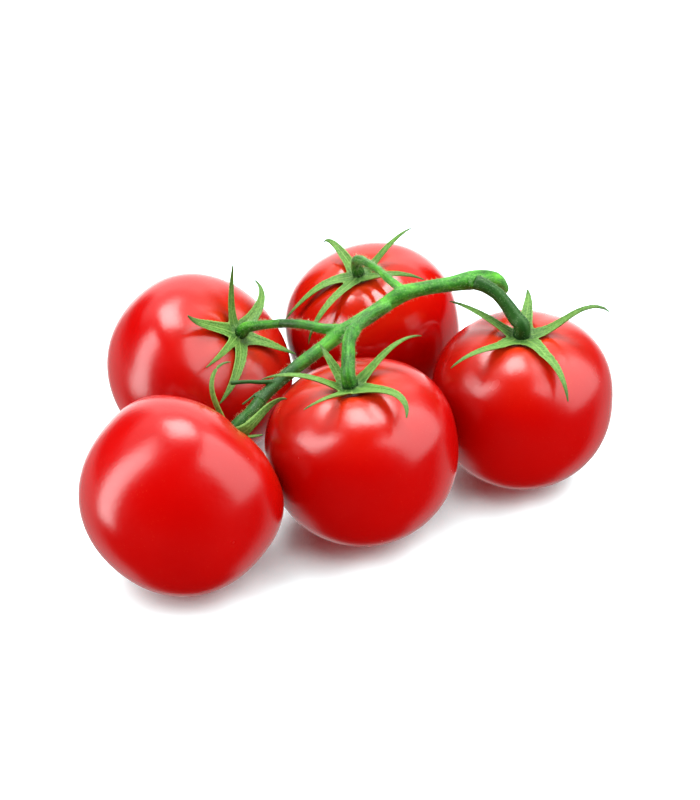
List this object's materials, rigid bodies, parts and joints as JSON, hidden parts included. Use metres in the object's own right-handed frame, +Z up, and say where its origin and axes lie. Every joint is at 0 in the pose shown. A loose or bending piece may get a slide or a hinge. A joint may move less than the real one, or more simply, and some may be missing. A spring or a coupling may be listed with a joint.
{
  "type": "truss of tomatoes",
  "caption": "Truss of ripe red tomatoes on a forked green stalk, each with its own pedicel and leafy calyx, lying on its fruit on a flat surface.",
  "frame": {"origin": "centre of the bounding box, on the surface that the fruit rest on", "axes": "+Z up from the surface; +X along the truss's longest side, towards the cut end of the stalk; +Y towards the back fruit"},
  "size_m": [0.1837, 0.174, 0.077],
  "materials": {
    "tomato_skin": "smooth, glossy ripe skin",
    "stalk_green": "satin green stalk with fine hairs",
    "calyx_green": "satin green leaf"
  },
  "bodies": {
    "root": {"tomato_front_left": "tomato_skin", "tomato_front_middle": "tomato_skin", "tomato_right": "tomato_skin", "tomato_back_middle": "tomato_skin", "tomato_back_left": "tomato_skin", "calyx_front_left": "calyx_green", "calyx_front_middle": "calyx_green", "calyx_right": "calyx_green", "calyx_back_middle": "calyx_green", "calyx_back_left": "calyx_green", "pedicel_front_left": "stalk_green", "pedicel_front_middle": "stalk_green", "pedicel_right": "stalk_green", "pedicel_back_middle": "stalk_green", "pedicel_back_left": "stalk_green", "main_stalk": "stalk_green"}
  },
  "joints": []
}
